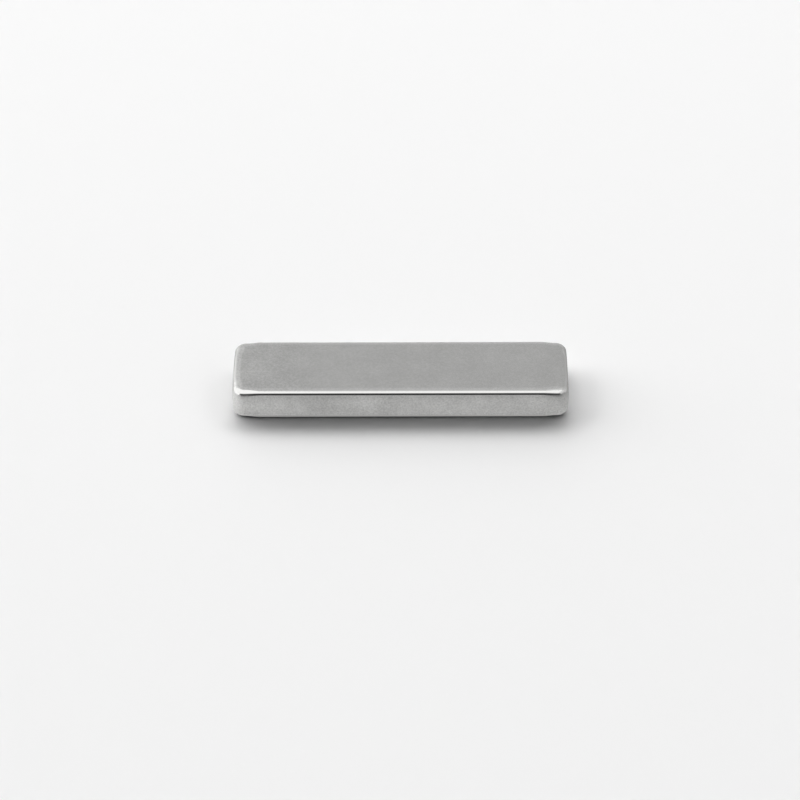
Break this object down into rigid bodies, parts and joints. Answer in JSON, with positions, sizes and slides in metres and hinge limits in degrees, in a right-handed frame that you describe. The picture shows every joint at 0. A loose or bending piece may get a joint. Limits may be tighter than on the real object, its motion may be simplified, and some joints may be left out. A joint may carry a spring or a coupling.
{
  "type": "block magnet",
  "caption": "Flat bar-shaped permanent magnet with rounded corners and rolled edges, nickel plated, drawn to steel through either of its two wide pole faces.",
  "frame": {"origin": "middle of the lower pole face, where the block lies on a surface", "axes": "+X along the bar's length, +Y across its width, +Z through its thickness from the lower pole face to the upper one"},
  "size_m": [0.04, 0.01, 0.004],
  "materials": {
    "nickel_plating": "bright nickel plating over a ground and tumbled surface, faintly clouded on the pole faces and satin on the walls"
  },
  "bodies": {
    "root": {"magnet_block": "nickel_plating"}
  },
  "joints": []
}
